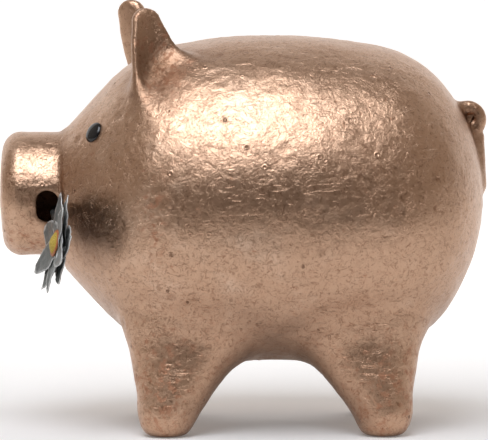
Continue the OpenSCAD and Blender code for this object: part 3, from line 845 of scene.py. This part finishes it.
def run_nodes(name, mesh, group, values, finish, body, nodes, place_at, face, rise=0.0):
    """Runs a Geometry Nodes group on mesh, keeps the result as a mesh, and sets it in place."""
    worker = bpy.data.objects.new("worker", mesh)
    bpy.context.scene.collection.objects.link(worker)
    made = worker.modifiers.new("made", "NODES")
    made.node_group = group
    sockets = {s.name: s.identifier for s in group.interface.items_tree if s.in_out == "INPUT"}
    for key, value in values.items():
        made[sockets[key]] = value
    made[sockets["Finish"]] = finish
    evaluated = worker.evaluated_get(bpy.context.evaluated_depsgraph_get())
    result = bpy.data.meshes.new_from_object(evaluated)
    bpy.data.objects.remove(worker)
    result.name = name
    co = np.empty(len(result.vertices) * 3)
    result.vertices.foreach_get("co", co)
    co = (co.reshape(-1, 3) + [0, 0, rise * MM]) @ face.T + place_at * MM
    result.vertices.foreach_set("co", co.ravel())
    result.polygons.foreach_set("use_smooth", [True] * len(result.polygons))
    piece = bpy.data.objects.new(name, result)
    bpy.context.scene.collection.objects.link(piece)
    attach(piece, body)
    if nodes:
        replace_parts(piece, *nodes)
    return piece


def petal_mesh(reach, seed):
    """One petal along +X: a ribbed, dished blade with a blunt point, of one thickness throughout,
    its edge marked in an attribute.
    """
    rng = np.random.default_rng(seed)
    rows, cols = 22, 11
    verts, faces, edge = [], [], []
    for i in range(rows):
        t = i / (rows - 1)
        half = FLOWER_R * 0.27 * max(math.sin(math.pi * t ** 0.8), 0) ** 0.7
        half += (1 - t) * 1.2 + 0.25 * (t > 0.9)
        half *= 1 + rng.uniform(-0.05, 0.05)
        for j in range(cols):
            s = 2 * j / (cols - 1) - 1
            rise = reach * (0.06 * t + 0.04 * t * t)
            ribs = (0.7 * s * s + 0.22 * math.cos(3 * math.pi * s)) * math.sin(math.pi * t)
            verts.append((t * reach * MM, half * s * MM, (rise + ribs) * MM))
            edge.append(float(np.clip((max(abs(s), 1.15 * (t > 0.92)) - 0.82) / 0.18, 0, 1)))
    n = len(verts)
    verts += [(x, y, z - TIN_T * MM) for x, y, z in verts]
    edge += edge
    for i in range(rows - 1):
        for j in range(cols - 1):
            a = i * cols + j
            quad = [a, a + cols, a + cols + 1, a + 1]
            faces += [quad, [v + n for v in quad[::-1]]]
    loop = list(range(cols)) + [i * cols + cols - 1 for i in range(1, rows)]
    loop += [(rows - 1) * cols + j for j in range(cols - 2, -1, -1)]
    loop += [i * cols for i in range(rows - 2, 0, -1)]
    for a, b in zip(loop, loop[1:] + loop[:1]):
        faces.append([a, b, b + n, a + n])
    mesh = bpy.data.meshes.new("petal")
    mesh.from_pydata(verts, [], faces)
    bm = bmesh.new()
    bm.from_mesh(mesh)
    bmesh.ops.recalc_face_normals(bm, faces=bm.faces)
    bm.to_mesh(mesh)
    bm.free()
    mesh.attributes.new("edge", "FLOAT", "POINT").data.foreach_set("value",
        np.array(edge, np.float32))
    return mesh


run_nodes("front_petal_ring", petal_mesh(FLOWER_R - 0.4, 1), petal_ring,
    {"Count": PETALS, "Turn": math.radians(12), "Uneven": 0.16, "Crumple": 0.0022, "Seed": 3},
    petal_tin, "flower", ["front_petals"], FLOWER_AT, flower_face, 0.5)
run_nodes("back_petal_ring", petal_mesh(FLOWER_R - 0.4, 2), petal_ring,
    {"Count": PETALS, "Turn": math.radians(42), "Uneven": 0.16, "Crumple": 0.0024, "Seed": 9},
    petal_tin, "flower", ["back_petals"], FLOWER_AT, flower_face, -1.6)

# Florets: small round grains in a spiral over a dome, glued to the middle of the petals.
floret_yellow = mottled("floret_yellow", (0.50, 0.36, 0.05), (0.72, 0.58, 0.14),
    0.0015, 0.5, 0.3, 8.0, 0.45, 0.2, 0.0006, 0.00005)
rim_orange = mottled("rim_orange", (0.42, 0.13, 0.04), (0.55, 0.24, 0.09),
    0.002, 0.5, 0.3, 12.0, 0.5, 0.2, 0.0006, 0.00005)

florets, given, out = group_tree("florets", "GeometryNodeTree",
    [("Geometry", "NodeSocketGeometry", None), ("Count", "NodeSocketInt", 80),
    ("Radius", "NodeSocketFloat", 0.004),
     ("Dome", "NodeSocketFloat", 0.0015), ("Finish", "NodeSocketMaterial", None)],
     [("Geometry", "NodeSocketGeometry")])
index = florets.nodes.new("GeometryNodeInputIndex").outputs[0]
part = math_of(florets, "DIVIDE", math_of(florets, "ADD", index, 0.5), given.outputs["Count"])
radius = math_of(florets, "MULTIPLY", math_of(florets, "SQRT", part), given.outputs["Radius"])
angle = math_of(florets, "MULTIPLY", index, math.radians(137.508))
height = math_of(florets, "MULTIPLY", math_of(florets, "SUBTRACT", 1.0, part),
    given.outputs["Dome"])
at = put(florets, "ShaderNodeCombineXYZ",
    {0: math_of(florets, "MULTIPLY", radius, math_of(florets, "COSINE", angle)),
    1: math_of(florets, "MULTIPLY", radius, math_of(florets, "SINE", angle)), 2: height})
spots = put(florets, "GeometryNodePoints",
    {"Count": given.outputs["Count"], "Position": at.outputs[0]})
grainy = put(florets, "GeometryNodeMeshIcoSphere", {"Radius": 0.00052, "Subdivisions": 2})
laid = put(florets, "GeometryNodeInstanceOnPoints",
    {"Points": spots.outputs[0], "Instance": grainy.outputs[0]})
real = florets.nodes.new("GeometryNodeRealizeInstances")
florets.links.new(laid.outputs[0], real.inputs[0])
both = florets.nodes.new("GeometryNodeJoinGeometry")
florets.links.new(given.outputs["Geometry"], both.inputs[0])
florets.links.new(real.outputs[0], both.inputs[0])
done = put(florets, "GeometryNodeSetMaterial",
    {"Geometry": both.outputs[0], "Material": given.outputs["Finish"]})
florets.links.new(done.outputs[0], out.inputs[0])


def lathe_mesh(name, outline, sides=40):
    bm = bmesh.new()
    turns = np.linspace(0, 2 * math.pi, sides, endpoint=False)
    ring_grid(bm, [[(r * math.cos(t), r * math.sin(t), z) for t in turns] for r, z in outline])
    bmesh.ops.recalc_face_normals(bm, faces=bm.faces)
    mesh = bpy.data.meshes.new(name)
    bm.to_mesh(mesh)
    bm.free()
    return mesh


dome = lathe_mesh("dome", [(0.3, 1.9), (1.5, 1.7), (2.8, 1.15), (3.7, 0.4), (3.9, 0.0), (0.3, 0.0)])
run_nodes("floret_dome", dome, florets, {"Count": 84, "Radius": 0.0039, "Dome": 0.0016},
    floret_yellow, "flower", ["flower_centre"], FLOWER_AT, flower_face, 1.2)
rim = lathe_mesh("rim", [(0.3, 0.5), (3.9, 0.75), (4.5, 0.8), (4.9, 0.45), (4.7, 0.0), (0.3, 0.0)])
run_nodes("floret_rim", rim, florets, {"Count": 1, "Radius": 0.0001, "Dome": 0.0001},
    rim_orange, "flower", ["centre_rim"], FLOWER_AT, flower_face, 1.0)

# Stem: soft iron wire, pushed through the mouth into the far wall and bent down to the bloom.
stem_wire = mottled("stem_wire", (0.12, 0.12, 0.115), (0.30, 0.30, 0.29),
    0.003, 0.5, 0.3, 13.0, 0.4, 0.25, 0.0007, 0.00005, 0.9)
far_end = math.sqrt(SNOUT_R ** 2 - (STEM_Z - SNOUT_Z) ** 2) - 1.4
bend_at = np.array([STEM_X, -SNOUT_R, STEM_Z])
down = FLOWER_AT - 1.6 * flower_face[:, 2] - bend_at
route = [np.array([STEM_X, y, STEM_Z]) for y in np.linspace(far_end, -SNOUT_R + 3, 12)]
route += [bend_at + np.array([0, 3 * (1 - t) ** 2, 0]) + down * 0.22 * t * t
    for t in np.linspace(0.15, 1, 7)]
route += [bend_at + down * t for t in np.linspace(0.3, 1, 8)]
bm = bmesh.new()
ring_grid(bm, tube_rings(route, [STEM_R] * len(route), 16))
bmesh.ops.recalc_face_normals(bm, faces=bm.faces)
mesh = bpy.data.meshes.new("wire_stem")
bm.to_mesh(mesh)
bm.free()
mesh.polygons.foreach_set("use_smooth", [True] * len(mesh.polygons))
mesh.materials.append(stem_wire)
stem = bpy.data.objects.new("wire_stem", mesh)
bpy.context.scene.collection.objects.link(stem)
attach(stem, "flower")
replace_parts(stem, "flower_stem")

# ---------------------------------------------------------------------------------------------
# Studio: a pale floor that glows as painted light, faintly near the pig and brightly further back,
# a large soft light above on the viewer's side, and a dim room.
FLOOR_FRONT, BEND_AT, BEND_R, FLOOR_TOP, FLOOR_HALF = -0.25, 0.9, 0.6, 2.6, 2.2
floor_paper, tree, shader, place = material("floor_paper")
mottle = use_group(tree, blotches, {"Vector": place, "Size": 0.05, "Cover": 0.5, "Softness": 0.5,
    "Seed": 15.0}).outputs[0]
tone = mixed(tree, mottle, (0.80, 0.79, 0.78, 1), (0.82, 0.815, 0.81, 1))
tree.links.new(tone, shader.inputs["Base Color"])
shader.inputs["Roughness"].default_value = 0.9
# The floor glows as painted light: weakly near the pig and brighter further back, so the far floor
# reads white.
away = put(tree, "ShaderNodeSeparateXYZ", {0: place}).outputs[1]
floor_glow = put(tree, "ShaderNodeMapRange", {0: away, 1: 0.0, 2: 0.5, 3: 0.12, 4: 0.62}).outputs[0]
tree.links.new(floor_glow, shader.inputs["Emission Strength"])
shader.inputs["Emission Color"].default_value = (1, 1, 1, 1)
bend = [(BEND_AT + BEND_R * math.sin(t), BEND_R - BEND_R * math.cos(t))
    for t in np.linspace(0.1, 1.5, 14)]
sweep = [(FLOOR_FRONT, 0.0), (BEND_AT, 0.0)] + bend + [(BEND_AT + BEND_R, FLOOR_TOP)]
mesh = bpy.data.meshes.new("floor")
mesh.from_pydata([(x, y, z) for y, z in sweep for x in (-FLOOR_HALF, FLOOR_HALF)], [],
    [(2 * i, 2 * i + 1, 2 * i + 3, 2 * i + 2) for i in range(len(sweep) - 1)])
mesh.polygons.foreach_set("use_smooth", [True] * len(mesh.polygons))
mesh.materials.append(floor_paper)
floor = bpy.data.objects.new("floor", mesh)
bpy.context.scene.collection.objects.link(floor)
floor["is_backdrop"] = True

LAMP_AT, LAMP_AIM = Vector((-0.12, -0.50, 0.88)), Vector((0.0, 0.0, 0.08))
softbox = bpy.data.lights.new("softbox", "AREA")
softbox.shape = "RECTANGLE"
softbox.size, softbox.size_y = 0.60, 0.74
softbox.energy = 7.7
softbox.color = (0.95, 1.0, 1.08)
lamp = bpy.data.objects.new("softbox", softbox)
lamp.location = LAMP_AT
lamp.rotation_euler = (LAMP_AIM - LAMP_AT).to_track_quat("-Z", "Y").to_euler()
bpy.context.scene.collection.objects.link(lamp)

# The room is dim and warm, a little brighter above and to the sides, behind a white backdrop.
world = bpy.data.worlds.new("room")
bpy.context.scene.world = world
world.use_nodes = True
tree = world.node_tree
seen = put(tree, "ShaderNodeLightPath").outputs["Is Camera Ray"]
ray = put(tree, "ShaderNodeSeparateXYZ",
    {0: tree.nodes.new("ShaderNodeTexCoord").outputs["Generated"]})
climb = put(tree, "ShaderNodeMapRange", {0: ray.outputs[2], 1: 0.0, 2: 0.6, 3: 0.035, 4: 0.17})
sideways = math_of(tree, "MULTIPLY", math_of(tree, "ABSOLUTE", ray.outputs[0]), 0.28)
dim = math_of(tree, "ADD", climb.outputs[0], sideways)
warm = put(tree, "ShaderNodeCombineColor", {0: dim, 1: math_of(tree, "MULTIPLY", dim, 0.86),
    2: math_of(tree, "MULTIPLY", dim, 0.75)}).outputs[0]
glow = mixed(tree, seen, warm, (1.0, 1.0, 1.0, 1))
tree.links.new(glow, tree.nodes["Background"].inputs["Color"])

# The camera stands about a metre away, square to the pig's left side and slightly above it.
AZIMUTH, ELEVATION, AWAY, AIM_Z = math.radians(-1.5), math.radians(3.0), 1.05, 0.076
SENSOR, IMAGE_W, SHIFT = 36.0, 488, 0.5
VIEW_W = IMAGE_W * 0.37 * MM
scene = bpy.context.scene
scene.view_settings.view_transform = "Standard"
camera = bpy.data.objects.new("camera", bpy.data.cameras.new("camera"))
scene.collection.objects.link(camera)
back = Vector((math.sin(AZIMUTH) * math.cos(ELEVATION),
    -math.cos(AZIMUTH) * math.cos(ELEVATION), math.sin(ELEVATION)))
camera.location = Vector((0, 0, AIM_Z)) + back * AWAY
camera.rotation_euler = (-back).to_track_quat("-Z", "Y").to_euler()
camera.data.sensor_width = SENSOR
camera.data.lens = SENSOR * AWAY / VIEW_W
camera.data.shift_x = SHIFT / IMAGE_W
scene.camera = camera

size = {"cad": [list(v) for v in cad_box], "visual": [list(v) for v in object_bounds()]}
